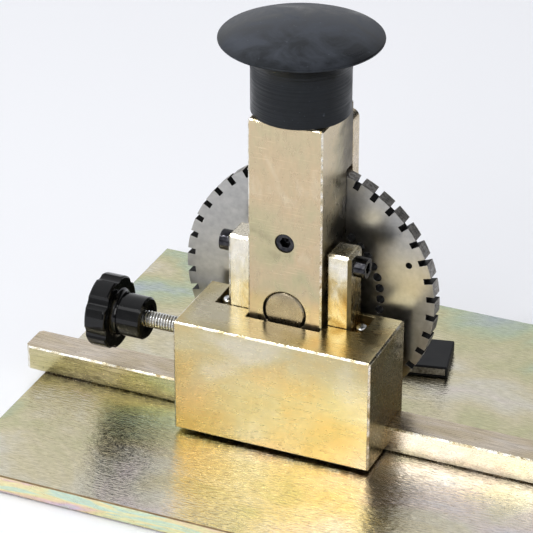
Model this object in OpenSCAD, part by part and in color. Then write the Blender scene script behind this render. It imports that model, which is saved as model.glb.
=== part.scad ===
// Manual tag embossing machine: a type wheel in a sprung column, on a carriage that slides along a bar.
// Millimetres, +Z up. Origin: middle of the base plate's underside. X runs along the guide bar,
// and +Y points to the side where the tag is laid.

/* [Base] */
// Length of the base plate, along the guide bar
plate_l = 300; // [280:5:400]
// Depth of the base plate
plate_d = 200; // [170:5:260]
// Thickness of the base plate
plate_t = 8; // [7:0.5:12]
// Chamfer on the plate's edges
plate_chamfer = 0.5; // [0.2:0.1:1]
// Length of the guide bar
bar_l = 317; // [300:1:420]
// Depth of the guide bar
bar_d = 15; // [12:0.5:18]
// Height of the guide bar
bar_h = 11.2; // [10:0.2:16]
// Distance from the plate's middle to the middle of the bar
bar_y = -14.3; // [-30:0.1:-5]
// Chamfer on the ends of the bar
bar_end_chamfer = 2; // [0.5:0.1:3]
// Chamfer on the long edges of the bar
bar_chamfer = 0.7; // [0.3:0.1:1.2]
// Diameter of the screws that hold the bar
bar_screw_d = 5; // [4:0.5:6]
// Distance between the bar's screws
bar_screw_pitch = 120; // [80:5:130]

/* [Carriage block] */
// Place of the column's middle along the bar, with the carriage at rest
column_x = -38.4; // [-60:0.2:60]
// Width of the block
block_w = 85; // [82:1:110]
// How far the block's middle lies from the column's middle
block_shift = 1.4; // [-1:0.1:2]
// Depth of the block
block_d = 37.8; // [36:0.1:46]
// Height of the block
block_h = 50; // [47:0.5:60]
// Gap between the block and the plate
block_lift = 1.5; // [0.8:0.1:4]
// Wall of the block behind the bar
rear_lip = 2.7; // [2:0.1:5]
// Wall of the block in front of the column
front_wall = 15.3; // [13.5:0.1:16]
// Thickness of the block between the bar and the pockets
floor_t = 6.7; // [6:0.1:9]
// Wall of the block behind the pockets
pocket_wall = 2.7; // [2:0.1:4.5]
// Chamfer on the block's edges
block_chamfer = 0.8; // [0.3:0.1:1.5]

/* [Column] */
// Width of the column
column_w = 31.6; // [28:0.2:34]
// Depth of the column in front of the wheel
column_d = 25.2; // [24:0.1:30]
// Gap between the column's face and the block in front of it
notch_gap = 2.3; // [0.5:0.1:2.5]
// Height of the column above the wheel's slot
head_h = 27.6; // [22:0.2:40]
// Gap under the column at rest
column_gap = 3.5; // [2.5:0.1:6]
// Chamfer on the column's edges
column_chamfer = 0.7; // [0.3:0.1:1.2]
// Thickness of the plate that covers the wheel's hub
cover_t = 6.4; // [4:0.1:8]
// How far the cover ends below the column's top
cover_drop = 6.7; // [0:0.1:8]
// Length of the cover below the axle's middle
cover_tail = 17; // [13:0.5:24]
// Radius of the cover's corners
cover_corner = 3.5; // [1:0.1:6]
// Diameter of the cover's screws
cover_screw_d = 5; // [4:0.5:6]
// Distance between the cover's screws
cover_screw_pitch = 17; // [14:0.5:20]

/* [Lugs and return springs] */
// Thickness of a lug
lug_t = 10.7; // [9:0.1:12]
// Depth of a lug
lug_d = 13; // [11:0.1:13.5]
// Height of a lug above the block
lug_rise = 32.1; // [26:0.1:40]
// How far a lug's foot reaches out beside it
foot_w = 5.1; // [5:0.1:6]
// Height of a lug's foot
foot_h = 18.2; // [14:0.2:20]
// Chamfer on a lug's edges
lug_chamfer = 1.3; // [0.3:0.1:1.4]
// Diameter of the lugs' screws
lug_screw_d = 5; // [4:0.5:6]
// Distance of the lugs' screws below the lugs' tops
lug_screw_drop = 6.4; // [5.2:0.1:9]
// Diameter of the guide screws' shanks
guide_screw_d = 3; // [2.5:0.1:3.2]
// Diameter of the guide screws' heads
guide_head_d = 5; // [4.4:0.1:5]
// Height of the guide screws' heads
guide_head_h = 3; // [2:0.1:4]
// Length of a return spring as fitted
spring_l = 12; // [10:0.5:16]
// Wire of a return spring
spring_wire = 0.7; // [0.5:0.05:0.8]
// Curls of a return spring
spring_turns = 6; // [4:1:7]

/* [Type wheel] */
// Radius of the wheel over its types
wheel_r = 54.3; // [50:0.1:60]
// Thickness of the wheel
wheel_t = 6.2; // [5:0.1:8]
// Gap between the lowest type and the plate at rest
wheel_gap = 1.3; // [1.2:0.1:4]
// Number of types on the wheel
type_count = 40; // [20:4:48]
// Width of the slots between the types
type_slot_w = 2.5; // [1:0.1:3]
// Depth of the slots between the types
type_slot_h = 3.4; // [2:0.1:5]
// Radius of the ring of index holes
index_r = 31.15; // [28:0.05:36]
// Diameter of an index hole
index_hole_d = 3.6; // [2.5:0.1:4.2]
// Radius of the start mark's place on the wheel
mark_r = 46.5; // [42:0.1:47]
// Diameter of the start mark's hole
mark_hole_d = 2.7; // [1.5:0.1:3]
// Diameter of the wheel's hub faces
hub_d = 26; // [23:0.5:40]
// Diameter of the axle
axle_d = 17.4; // [14:0.2:21]
// Diameter of the axle's end in the cover
axle_end_d = 12; // [8:0.5:13]
// Chamfer round the axle's visible end
axle_chamfer = 0.7; // [0.3:0.1:1.5]

/* [Detent] */
// Diameter of the set screw
set_screw_d = 8; // [6:0.5:9]
// Length of the set screw
set_screw_l = 8; // [6:0.5:10]
// How deep the set screw sits in the column's face
set_screw_depth = 0.6; // [0:0.1:2]
// Width of the set screw's hexagon socket
set_screw_hex = 4; // [3:0.5:4]
// Diameter of the detent ball
ball_d = 5; // [4.5:0.1:5.4]
// Wire of the detent spring
detent_wire = 0.5; // [0.3:0.05:0.6]
// Curls of the detent spring
detent_turns = 7; // [4:1:8]

/* [Strike cap] */
// Radius of the cap's rim
cap_r = 32.5; // [28:0.1:40]
// Radius of the cap's neck
neck_r = 19.9; // [15:0.1:22]
// Height of the straight part of the neck
neck_h = 17.2; // [10:0.1:25]
// Thickness of the cap's rim
rim_t = 1.2; // [0.8:0.1:5]
// Height of the dome above the rim
dome_h = 6; // [3:0.1:12]
// Diameter of the stud in the cap
cap_stud_d = 12; // [8:1:16]
// Length of the stud in the cap
cap_stud_rise = 22; // [14:1:24]
// Length of the stud in the column
cap_stud_reach = 20; // [12:1:20]

/* [Lock] */
// Diameter of the lock's stud
lock_d = 7; // [5:0.5:7.5]
// Length of the stud between the block and the knob
lock_reach = 23; // [10:0.5:30]
// Height of the lock above the lug's foot
lock_rise = 4.4; // [4:0.1:8]
// How far the lock sits in front of the lug's middle
lock_set = 3.2; // [0:0.1:3.5]
// Length of the pad on the stud's end
pad_l = 2.5; // [1.5:0.1:4]
// Gap between the pad and the lug when the lock is loose
pad_gap = 0.35; // [0.31:0.01:0.5]
// Radius of the knob over its lobes
knob_r = 15.5; // [13:0.1:18]
// Thickness of the knob
knob_t = 9.2; // [6:0.1:12]
// Number of the knob's lobes
knob_lobes = 7; // [5:1:9]
// Radius of the hollows between the lobes
knob_hollow_r = 4.4; // [3.5:0.1:5]
// Depth of the hollows between the lobes
knob_hollow_depth = 1.5; // [0.8:0.1:2]
// Radius of the edges round the knob's lobes
knob_edge_r = 1; // [0.5:0.1:1.5]
// Diameter of the knob's hub
knob_hub_d = 18; // [14:0.5:20]
// Length of the knob's hub
knob_hub_l = 13; // [8:0.5:18]
// Radius of the curve between the knob's hub and its lobes
knob_fillet = 2; // [1:0.1:2.5]
// Chamfer on the end of the knob's hub
knob_hub_chamfer = 0.8; // [0.3:0.1:1.2]
// Diameter of the recess round the stud in the hub's end
knob_recess_d = 11.5; // [9:0.5:12]
// Depth of the recess round the stud in the hub's end
knob_recess_depth = 1.2; // [0.5:0.1:2]

/* [Magnet] */
// Width of the hold-down magnet
magnet_w = 26; // [18:0.5:40]
// Depth of the hold-down magnet
magnet_d = 23.5; // [16:0.5:30]
// Thickness of the hold-down magnet
magnet_t = 5.2; // [4:0.1:8]
// Thickness of the sleeve round the magnet
sleeve_t = 0.9; // [0.5:0.1:1.3]
// Chamfer on the sleeve's edges
sleeve_chamfer = 0.5; // [0.2:0.1:0.8]
// Place of the magnet along the bar
magnet_x = -6.6; // [-60:0.1:60]
// Place of the magnet behind the plate's middle
magnet_y = 50; // [36:0.5:70]
// Angle at which the magnet lies
magnet_turn = 12.6; // [0:0.1:30]

/* [Clearances] */
// Gap between the carriage and the bar
slide_gap = 0.1; // [0.05:0.05:0.2]
// Gap on each side between the column and the block
guide_gap = 0.2; // [0.1:0.05:0.3]
// Gap round a lug in its pocket
pocket_gap = 0.4; // [0.35:0.05:0.6]
// Radial gap of the turning axle
run_gap = 0.05; // [0.02:0.01:0.1]
// Gap beside the turning wheel
wheel_side_gap = 0.4; // [0.2:0.05:1]
// Gap over the turning wheel
wheel_top_gap = 0.9; // [0.4:0.1:3]
// Radial gap of a screw or a pin in its hole
screw_gap = 0.1; // [0.05:0.05:0.2]

/* [Hidden] */
$fn = 64;

gold = "#cdbb8a";
steel = "#8d8a84";
black = "#222225";
zinc = "#c9c9cc";
brass = "#b08d46";
// Overlap that a cutting tool has past the face that it cuts
past = 1;
// Room left in a hole past a screw's end
tip_room = 1;

// Base
bar_y0 = bar_y - bar_d / 2;
bar_y1 = bar_y + bar_d / 2;
rail_z = plate_t + bar_h;
bar_screw_depth = 8;
bar_screw_sink = 0.3;

// Carriage block
block_x0 = column_x + block_shift - block_w / 2;
block_y1 = bar_y1 + slide_gap + rear_lip;
block_y0 = block_y1 - block_d;
block_z0 = plate_t + block_lift;
block_z1 = block_z0 + block_h;
floor_z = rail_z + slide_gap + floor_t;
notch_y0 = block_y0 + front_wall;
pocket_y1 = block_y1 - pocket_wall;
pocket_y0 = pocket_y1 - lug_d - 2 * pocket_gap;
pocket_x = column_w / 2 + lug_t + foot_w + pocket_gap;

// Wheel and column
wheel_z = plate_t + wheel_gap + wheel_r;
column_y0 = notch_y0 + notch_gap;
slot_y0 = column_y0 + column_d;
slot_y1 = slot_y0 + wheel_t + 2 * wheel_side_gap;
wheel_y0 = slot_y0 + wheel_side_gap;
hub_gap = 0.1;
wheel_facets = 4 * type_count;
hole_facets = 24;
mark_pitches = 2.5;
slot_z = wheel_z + wheel_r + wheel_top_gap;
column_z0 = floor_z + column_gap;
column_z1 = slot_z + head_h;
column_mid_y = (column_y0 + slot_y1) / 2;
cover_y1 = slot_y1 + cover_t;
cover_z1 = column_z1 - cover_drop;
cover_screw_z = slot_z + (cover_z1 - slot_z) / 2;
cover_screw_depth = 12;

// Lugs
foot_z = floor_z + spring_l;
foot_top = foot_z + foot_h;
lug_z1 = block_z1 + lug_rise;
lug_y0 = pocket_y0 + pocket_gap;
lug_mid_y = lug_y0 + lug_d / 2;
lug_screw_z = lug_z1 - lug_screw_drop;
lug_screw_depth = 9;
guide_set = 0.15;
guide_x = column_w / 2 + lug_t + foot_w / 2 + guide_set;
guide_floor = 1.2;
guide_depth = floor_t - guide_floor;
guide_dome_r = 0.6 * guide_head_d;
guide_foot_gap = 0.1;
spring_room = 0.3;
spring_r = guide_screw_d / 2 + spring_room + spring_wire / 2;

// Detent: the ball is drawn back clear of the wheel's face, and drops into an index hole from there
detent_z = wheel_z + index_r;
ball_gap = 0.05;
ball_y = wheel_y0 - ball_gap - ball_d / 2;
set_screw_y1 = column_y0 + set_screw_depth + set_screw_l;
detent_spring_gap = 0.1;
detent_spring_l = ball_y - ball_d / 2 - set_screw_y1 - 2 * detent_spring_gap;
detent_spring_r = ball_d / 2 - spring_room - detent_wire / 2;

// Cap
cap_base_h = neck_h + (cap_r - neck_r) + rim_t;
dome_r = (pow(cap_r, 2) + pow(dome_h, 2)) / (2 * dome_h);

// Lock
lock_y = lug_mid_y - lock_set;
lock_z = foot_z + lock_rise;
pad_x1 = column_x - column_w / 2 - lug_t - foot_w - pad_gap;
pad_step = 0.6;
pad_d = lock_d - 2 * pad_step;
knob_x1 = block_x0 - lock_reach;
hub_floor = 2;
stud_grip = knob_hub_l - hub_floor;

// Magnet
core_inset = 0.4;

// A screw's head is in step with its shank, as on a standard socket head screw
function head_d(d) = 1.7 * d;
function socket_w(d) = 0.8 * d;

// Box from corner a to corner b with all its edges chamfered
module chamfer_box(a, b, c) {
  s = b - a;
  translate(a) intersection() {
    linear_extrude(s.z) chamfer_square(s.x, s.y, c);
    translate([0, s.y, 0]) rotate([90, 0, 0]) linear_extrude(s.y) chamfer_square(s.x, s.z, c);
    rotate([90, 0, 90]) linear_extrude(s.x) chamfer_square(s.y, s.z, c);
  }
}

module chamfer_square(w, h, c) {
  polygon([[c, 0], [w - c, 0], [w, c], [w, h - c], [w - c, h], [c, h], [0, h - c], [0, c]]);
}

// Plain box from corner a to corner b
module box(a, b) {
  translate(a) cube(b - a);
}

// Round bar of diameter d and length l from point p along +X, +Y or +Z
module along_x(p, d, l) { translate(p) rotate([0, 90, 0]) cylinder(d = d, h = l); }
module along_y(p, d, l) { translate(p) rotate([-90, 0, 0]) cylinder(d = d, h = l); }
module along_z(p, d, l) { translate(p) cylinder(d = d, h = l); }

// Socket head screw: its head sits on z = 0 and its shank runs down
module socket_screw(d, l) {
  difference() {
    union() {
      cylinder(d = head_d(d), h = d);
      translate([0, 0, -l]) cylinder(d = d, h = l + past);
    }
    translate([0, 0, d / 2]) cylinder(d = socket_w(d) / cos(30), h = d, $fn = 6);
  }
}

// Spring wire: a tube along a helix with straight ends, as one unbroken skin
wire_sides = 6;
curl_rings = 8;

function coil_path(r, l, wire, turns) = concat(
  [[r, 0, 0]],
  [for (i = [0 : turns * curl_rings])
    let (a = 360 * i / curl_rings)
    [r * cos(a), r * sin(a), wire + (l - 2 * wire) * i / (turns * curl_rings)]],
  [[r, 0, l]]
);

function unit(v) = v / norm(v);

// Direction of the path at point i, halfway between the stretches on both sides
function path_dir(p, i) =
  i == 0 ? unit(p[1] - p[0]) :
  i == len(p) - 1 ? unit(p[i] - p[i - 1]) :
  unit(unit(p[i] - p[i - 1]) + unit(p[i + 1] - p[i]));

function ring(p, i, wire) =
  let (out = unit([p[i].x, p[i].y, 0]), side = unit(cross(path_dir(p, i), out)))
  [for (k = [0 : wire_sides - 1])
    p[i] + wire / 2 * (cos(360 * k / wire_sides) * out + sin(360 * k / wire_sides) * side)];

// Least gap between the wire's skin and itself, measured between points half a curl or more apart
function coil_gap(p, wire) = min([
  for (i = [0 : len(p) - 1])
    for (j = [i + 1 : 1 : len(p) - 1])
      if (j - i >= curl_rings / 2) norm(p[i] - p[j]) - wire
]);

module coil(r, l, wire, turns) {
  path = coil_path(r, l, wire, turns);
  n = len(path);
  echo(least_gap_between_curls = coil_gap(path, wire));
  points = [for (i = [0 : n - 1]) each ring(path, i, wire)];
  skin = [
    for (i = [0 : n - 2])
      for (k = [0 : wire_sides - 1])
        let (a = i * wire_sides + k, b = i * wire_sides + (k + 1) % wire_sides)
        each [[a, b, a + wire_sides], [b, b + wire_sides, a + wire_sides]]
  ];
  first = [for (k = [1 : wire_sides - 2]) [0, k + 1, k]];
  last = [for (k = [1 : wire_sides - 2]) (n - 1) * wire_sides * [1, 1, 1] + [0, k, k + 1]];
  polyhedron(points = points, faces = concat(skin, first, last));
}

// Base plate, with countersunk holes under the bar
module base_plate() {
  color(gold) difference() {
    chamfer_box([-plate_l / 2, -plate_d / 2, 0], [plate_l / 2, plate_d / 2, plate_t], plate_chamfer);
    for (i = [-1 : 1]) translate([i * bar_screw_pitch, bar_y, 0]) {
      along_z([0, 0, -past], bar_screw_d + 2 * screw_gap, plate_t + 2 * past);
      translate([0, 0, bar_screw_sink - screw_gap]) countersink(bar_screw_d + 2 * screw_gap);
      along_z([0, 0, -past], 2 * bar_screw_d + 2 * screw_gap, past + bar_screw_sink);
    }
  }
}

// Cone of a countersunk head, twice as wide at its foot as the shank d
module countersink(d) {
  cylinder(d1 = 2 * d, d2 = d, h = d / 2);
}

// Guide bar, tapped from below
module guide_bar() {
  color(gold) difference() {
    translate([-bar_l / 2, bar_y0, plate_t]) intersection() {
      linear_extrude(bar_h) chamfer_square(bar_l, bar_d, bar_end_chamfer);
      rotate([90, 0, 90]) linear_extrude(bar_l) chamfer_square(bar_d, bar_h, bar_chamfer);
    }
    for (i = [-1 : 1])
      along_z([i * bar_screw_pitch, bar_y, plate_t - past], bar_screw_d + 2 * screw_gap,
        bar_screw_depth + past);
  }
}

module bar_screws() {
  color(black) for (i = [-1 : 1]) translate([i * bar_screw_pitch, bar_y, bar_screw_sink]) {
    countersink(bar_screw_d);
    cylinder(d = bar_screw_d, h = plate_t - bar_screw_sink + bar_screw_depth - tip_room);
  }
}

// Block with the channel for the bar, the notch for the column and a pocket on each side
module carriage_block() {
  color(gold) difference() {
    chamfer_box([block_x0, block_y0, block_z0], [block_x0 + block_w, block_y1, block_z1], block_chamfer);
    box([block_x0 - past, bar_y0 - slide_gap, block_z0 - past],
      [block_x0 + block_w + past, bar_y1 + slide_gap, rail_z + slide_gap]);
    notch = column_w / 2 + guide_gap;
    box([column_x - notch, notch_y0, floor_z], [column_x + notch, block_y1 + past, block_z1 + past]);
    box([column_x - pocket_x, pocket_y0, floor_z], [column_x + pocket_x, pocket_y1, block_z1 + past]);
    for (s = [-1, 1])
      along_z([column_x + s * guide_x, lug_mid_y, floor_z - guide_depth], guide_screw_d + 2 * screw_gap,
        guide_depth + past);
    along_x([block_x0 - past, lock_y, lock_z], lock_d + 2 * screw_gap,
      column_x - pocket_x - block_x0 + 2 * past);
  }
}

// Domed screws in the pockets, on which the lugs' feet slide
module guide_screws() {
  color(zinc) for (s = [-1, 1]) translate([column_x + s * guide_x, lug_mid_y, 0]) {
    shank_z = floor_z - guide_depth + screw_gap;
    head_z = foot_top + guide_foot_gap;
    translate([0, 0, shank_z]) cylinder(d = guide_screw_d, h = head_z - shank_z + past);
    translate([0, 0, head_z]) rotate_extrude() intersection() {
      square([guide_head_d / 2, guide_head_h]);
      translate([0, guide_head_h - guide_dome_r]) circle(r = guide_dome_r);
    }
  }
}

module return_spring(side) {
  color(zinc) translate([column_x + side * guide_x, lug_mid_y, floor_z])
    coil(spring_r, spring_l, spring_wire, spring_turns);
}

module return_spring_left() { return_spring(-1); }

module return_spring_right() { return_spring(1); }

// Column, stepped back for the wheel, with the bores for the axle, the detent and its screws
module column() {
  half = column_w / 2;
  color(gold) difference() {
    chamfer_box([column_x - half, column_y0, column_z0], [column_x + half, slot_y1, column_z1],
      column_chamfer);
    box([column_x - half - past, slot_y0, column_z0 - past],
      [column_x + half + past, slot_y1 + past, slot_z]);
    translate([column_x, column_y0, wheel_z]) {
      along_y([0, -past, 0], axle_d + 2 * run_gap, column_d + 2 * past);
      rotate([-90, 0, 0]) translate([0, 0, -past])
        cylinder(d1 = axle_d + 2 * (axle_chamfer + past), d2 = axle_d, h = axle_chamfer + past);
    }
    translate([column_x, 0, detent_z]) {
      along_y([0, column_y0 - past, 0], ball_d + 2 * screw_gap, column_d + 2 * past);
      along_y([0, column_y0 - past, 0], set_screw_d + 2 * screw_gap, set_screw_y1 - column_y0 + past);
    }
    along_x([column_x - half - past, lug_mid_y, lug_screw_z], lug_screw_d + 2 * screw_gap,
      lug_screw_depth + past);
    along_x([column_x + half - lug_screw_depth, lug_mid_y, lug_screw_z], lug_screw_d + 2 * screw_gap,
      lug_screw_depth + past);
    for (s = [-1, 1])
      along_y([column_x + s * cover_screw_pitch / 2, slot_y1 - cover_screw_depth, cover_screw_z],
        cover_screw_d + 2 * screw_gap, cover_screw_depth + past);
    along_z([column_x, column_mid_y, column_z1 - cap_stud_reach], cap_stud_d + 2 * screw_gap,
      cap_stud_reach + past);
  }
}

// Plate behind the wheel, with round corners, that carries the axle's end
module wheel_cover() {
  half = column_w / 2;
  z0 = wheel_z - cover_tail;
  color(gold) difference() {
    translate([column_x, cover_y1, 0]) rotate([90, 0, 0]) linear_extrude(cover_t) {
      translate([-half, z0 + cover_corner]) square([column_w, cover_z1 - z0 - 2 * cover_corner]);
      translate([-half + cover_corner, z0]) square([column_w - 2 * cover_corner, cover_z1 - z0]);
      for (x = [-1, 1], z = [z0 + cover_corner, cover_z1 - cover_corner])
        translate([x * (half - cover_corner), z]) circle(r = cover_corner);
    }
    along_y([column_x, slot_y1 - past, wheel_z], axle_end_d + 2 * run_gap, cover_t + 2 * past);
    for (s = [-1, 1])
      along_y([column_x + s * cover_screw_pitch / 2, slot_y1 - past, cover_screw_z],
        cover_screw_d + 2 * screw_gap, cover_t + 2 * past);
  }
}

module cover_screws() {
  color(black) for (s = [-1, 1])
    translate([column_x + s * cover_screw_pitch / 2, cover_y1, cover_screw_z]) rotate([-90, 0, 0])
      socket_screw(cover_screw_d, cover_t + cover_screw_depth - tip_room);
}

// Lug for the right side: an upright on the column and a foot over the return spring
module lug() {
  x0 = column_w / 2;
  difference() {
    union() {
      chamfer_box([x0, lug_y0, foot_z], [x0 + lug_t, lug_y0 + lug_d, lug_z1], lug_chamfer);
      box([x0, lug_y0, foot_z], [x0 + lug_t + foot_w, lug_y0 + lug_d, foot_top]);
    }
    along_x([x0 - past, lug_mid_y, lug_screw_z], lug_screw_d + 2 * screw_gap, lug_t + 2 * past);
    along_z([guide_x, lug_mid_y, foot_z - past], guide_screw_d + 2 * screw_gap, foot_h + 2 * past);
  }
}

module right_lug() {
  color(gold) translate([column_x, 0, 0]) lug();
}

module left_lug() {
  color(gold) translate([column_x, 0, 0]) mirror([1, 0, 0]) lug();
}

module lug_screws() {
  color(black) for (s = [-1, 1])
    translate([column_x + s * (column_w / 2 + lug_t), lug_mid_y, lug_screw_z]) rotate([0, s * 90, 0])
      socket_screw(lug_screw_d, lug_t + lug_screw_depth - tip_room);
}

// Mushroom cap with a hollow curve under its rim and a shallow dome
module strike_cap() {
  flare = cap_r - neck_r;
  color(black) translate([column_x, column_mid_y, column_z1]) difference() {
    rotate_extrude() difference() {
      intersection() {
        square([cap_r, cap_base_h + dome_h]);
        translate([0, cap_base_h + dome_h - dome_r]) circle(r = dome_r);
      }
      translate([cap_r, neck_h]) circle(r = flare);
      translate([neck_r, -past]) square([flare + past, neck_h + past]);
    }
    along_z([0, 0, -past], cap_stud_d + 2 * screw_gap, cap_stud_rise + past);
  }
}

module cap_stud() {
  color(zinc) along_z([column_x, column_mid_y, column_z1 - cap_stud_reach + screw_gap], cap_stud_d,
    cap_stud_reach + cap_stud_rise - 2 * screw_gap);
}

// Set screw with a hexagon socket, behind it the spring and the ball of the detent
module detent_screw() {
  color(black) translate([column_x, column_y0 + set_screw_depth, detent_z]) rotate([-90, 0, 0])
    difference() {
      cylinder(d = set_screw_d, h = set_screw_l);
      translate([0, 0, -past])
        cylinder(d = set_screw_hex / cos(30), h = set_screw_l / 2 + past, $fn = 6);
    }
}

module detent_spring() {
  color(zinc) translate([column_x, set_screw_y1 + detent_spring_gap, detent_z]) rotate([-90, 0, 0])
    coil(detent_spring_r, detent_spring_l, detent_wire, detent_turns);
}

module detent_ball() {
  color(zinc) translate([column_x, ball_y, detent_z]) sphere(d = ball_d);
}

// Wheel with its types, the slots between them, the index holes and the start mark
module type_wheel() {
  pitch = 360 / type_count;
  hub_rise = wheel_side_gap - hub_gap;
  color(steel) translate([column_x, wheel_y0, wheel_z]) rotate([-90, 0, 0]) difference() {
    union() {
      cylinder(r = wheel_r, h = wheel_t, $fn = wheel_facets);
      translate([0, 0, -hub_rise]) cylinder(d = hub_d, h = wheel_t + 2 * hub_rise);
    }
    for (i = [0 : type_count - 1]) rotate(90 + i * pitch) {
      rotate(pitch / 2) translate([wheel_r - type_slot_h, -type_slot_w / 2, -past])
        cube([type_slot_h + past, type_slot_w, wheel_t + 2 * past]);
      translate([index_r, 0, -past]) cylinder(d = index_hole_d, h = wheel_t + 2 * past, $fn = hole_facets);
    }
    rotate(-mark_pitches * pitch) translate([mark_r, 0, -past])
      cylinder(d = mark_hole_d, h = wheel_t + 2 * past, $fn = hole_facets);
    translate([0, 0, -wheel_side_gap - past])
      cylinder(d = axle_d + 2 * run_gap, h = wheel_t + 2 * wheel_side_gap + 2 * past);
  }
}

// Axle, flush with the column's face in front and with a thinner end in the cover
module wheel_axle() {
  color(gold) translate([column_x, column_y0, wheel_z]) rotate([-90, 0, 0]) {
    cylinder(d1 = axle_d - 2 * axle_chamfer, d2 = axle_d, h = axle_chamfer);
    translate([0, 0, axle_chamfer]) cylinder(d = axle_d, h = slot_y1 - hub_gap - column_y0 - axle_chamfer);
    cylinder(d = axle_end_d, h = cover_y1 - column_y0);
  }
}

// Lock: a pad that presses on the left lug's foot, its stud and the star knob
module lock_pad() {
  color(brass) along_x([pad_x1 - pad_l, lock_y, lock_z], pad_d, pad_l);
}

module lock_stud() {
  x0 = knob_x1 - stud_grip;
  color(zinc) along_x([x0, lock_y, lock_z], lock_d, pad_x1 - pad_l - x0);
}

// The knob is turned with rounded edges and a curved hub, and the hollows between its lobes are cut out
module lock_knob() {
  color(black) translate([knob_x1, lock_y, lock_z]) rotate([0, -90, 0]) difference() {
    rotate_extrude() {
      knob_hub_profile();
      translate([0, knob_hub_l]) knob_rim_profile();
    }
    for (i = [0 : knob_lobes - 1]) rotate(i * 360 / knob_lobes)
      translate([knob_r + knob_hollow_r - knob_hollow_depth, 0, knob_hub_l - past])
        cylinder(r = knob_hollow_r, h = knob_t + 2 * past);
    translate([0, 0, -past]) cylinder(d = lock_d + 2 * screw_gap, h = stud_grip + screw_gap + past);
    translate([0, 0, -past]) cylinder(d = knob_recess_d, h = knob_recess_depth + past);
  }
}

module knob_hub_profile() {
  r = knob_hub_d / 2;
  c = knob_hub_chamfer;
  polygon([[0, 0], [r - c, 0], [r, c], [r, knob_hub_l + past], [0, knob_hub_l + past]]);
  translate([r, knob_hub_l]) difference() {
    translate([-past, -knob_fillet]) square([knob_fillet + past, knob_fillet + past]);
    translate([knob_fillet, -knob_fillet]) circle(r = knob_fillet);
  }
}

module knob_rim_profile() {
  square([knob_r - knob_edge_r, knob_t]);
  translate([0, knob_edge_r]) square([knob_r, knob_t - 2 * knob_edge_r]);
  for (z = [knob_edge_r, knob_t - knob_edge_r])
    translate([knob_r - knob_edge_r, z]) circle(r = knob_edge_r);
}

// Hold-down magnet: a bar magnet in a sleeve that is open at both ends
module at_magnet() {
  translate([magnet_x, magnet_y, plate_t]) rotate(magnet_turn) children();
}

module magnet_sleeve() {
  w = magnet_w / 2;
  d = magnet_d / 2;
  color(black) at_magnet() difference() {
    chamfer_box([-w, -d, 0], [w, d, magnet_t], sleeve_chamfer);
    box([-w + sleeve_t, -d - past, sleeve_t], [w - sleeve_t, d + past, magnet_t - sleeve_t]);
  }
}

module magnet_core() {
  w = magnet_w / 2 - sleeve_t - screw_gap;
  d = magnet_d / 2 - core_inset;
  color(zinc) at_magnet()
    box([-w, -d, sleeve_t + screw_gap], [w, d, magnet_t - sleeve_t - screw_gap]);
}

base_plate();
guide_bar();
bar_screws();
carriage_block();
guide_screws();
return_spring_left();
return_spring_right();
column();
wheel_cover();
cover_screws();
left_lug();
right_lug();
lug_screws();
strike_cap();
cap_stud();
detent_screw();
detent_spring();
detent_ball();
type_wheel();
wheel_axle();
lock_pad();
lock_stud();
lock_knob();
magnet_sleeve();
magnet_core();
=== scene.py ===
# Manual tag embossing machine: the finish of each piece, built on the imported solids.
# Metres, +Z up. The sections follow the machine as it is put together, from the base plate upwards.
import math

import bpy
from mathutils import Matrix, Vector


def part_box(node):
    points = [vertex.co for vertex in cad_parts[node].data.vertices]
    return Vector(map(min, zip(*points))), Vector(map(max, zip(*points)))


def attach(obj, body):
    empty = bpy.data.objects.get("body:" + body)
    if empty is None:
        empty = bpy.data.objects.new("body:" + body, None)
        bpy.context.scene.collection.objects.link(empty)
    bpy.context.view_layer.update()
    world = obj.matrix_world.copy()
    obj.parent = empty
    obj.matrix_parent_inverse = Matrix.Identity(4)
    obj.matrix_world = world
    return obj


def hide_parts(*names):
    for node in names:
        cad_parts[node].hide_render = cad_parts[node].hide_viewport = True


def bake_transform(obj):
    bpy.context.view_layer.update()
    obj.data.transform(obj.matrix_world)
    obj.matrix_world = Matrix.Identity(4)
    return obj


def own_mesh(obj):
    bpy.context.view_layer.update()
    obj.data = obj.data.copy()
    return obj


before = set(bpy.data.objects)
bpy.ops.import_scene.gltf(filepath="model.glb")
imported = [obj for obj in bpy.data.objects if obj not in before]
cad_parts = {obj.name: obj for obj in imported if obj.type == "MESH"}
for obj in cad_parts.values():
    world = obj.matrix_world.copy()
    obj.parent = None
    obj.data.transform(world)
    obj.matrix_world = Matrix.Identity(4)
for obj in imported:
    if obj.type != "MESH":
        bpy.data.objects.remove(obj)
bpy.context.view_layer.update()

# Camera
# It stands about a metre off, to the right of the machine's front, and looks down on it through a long lens.
# Its place, angles and lens are those of a camera fitted to the photograph.
bpy.context.scene.view_settings.view_transform = "Standard"
camera_place = (0.3271, -0.8841, 0.5944)
camera_turn = math.radians(23.46)
camera_dip = math.radians(28.62)
sensor_mm = 36
lens_mm = 181.9
bpy.ops.object.camera_add(location=camera_place, rotation=(math.pi / 2 - camera_dip, 0, camera_turn))
camera = bpy.context.object
camera.data.sensor_width = sensor_mm
camera.data.lens = lens_mm
bpy.context.scene.camera = camera


# Studio
# A pale floor under a sky that is white on the left, dark on the right and grey beyond. A soft lamp lights
# the floor from above. The metal mirrors softboxes in front, above and at the right, and a lamp for glints.
def linear(code):
    """A colour written as sRGB hex, as linear RGBA."""
    shares = [int(code[i : i + 2], 16) / 255 for i in (1, 3, 5)]
    return [s / 12.92 if s <= 0.04045 else ((s + 0.055) / 1.055) ** 2.4 for s in shares] + [1.0]


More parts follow.
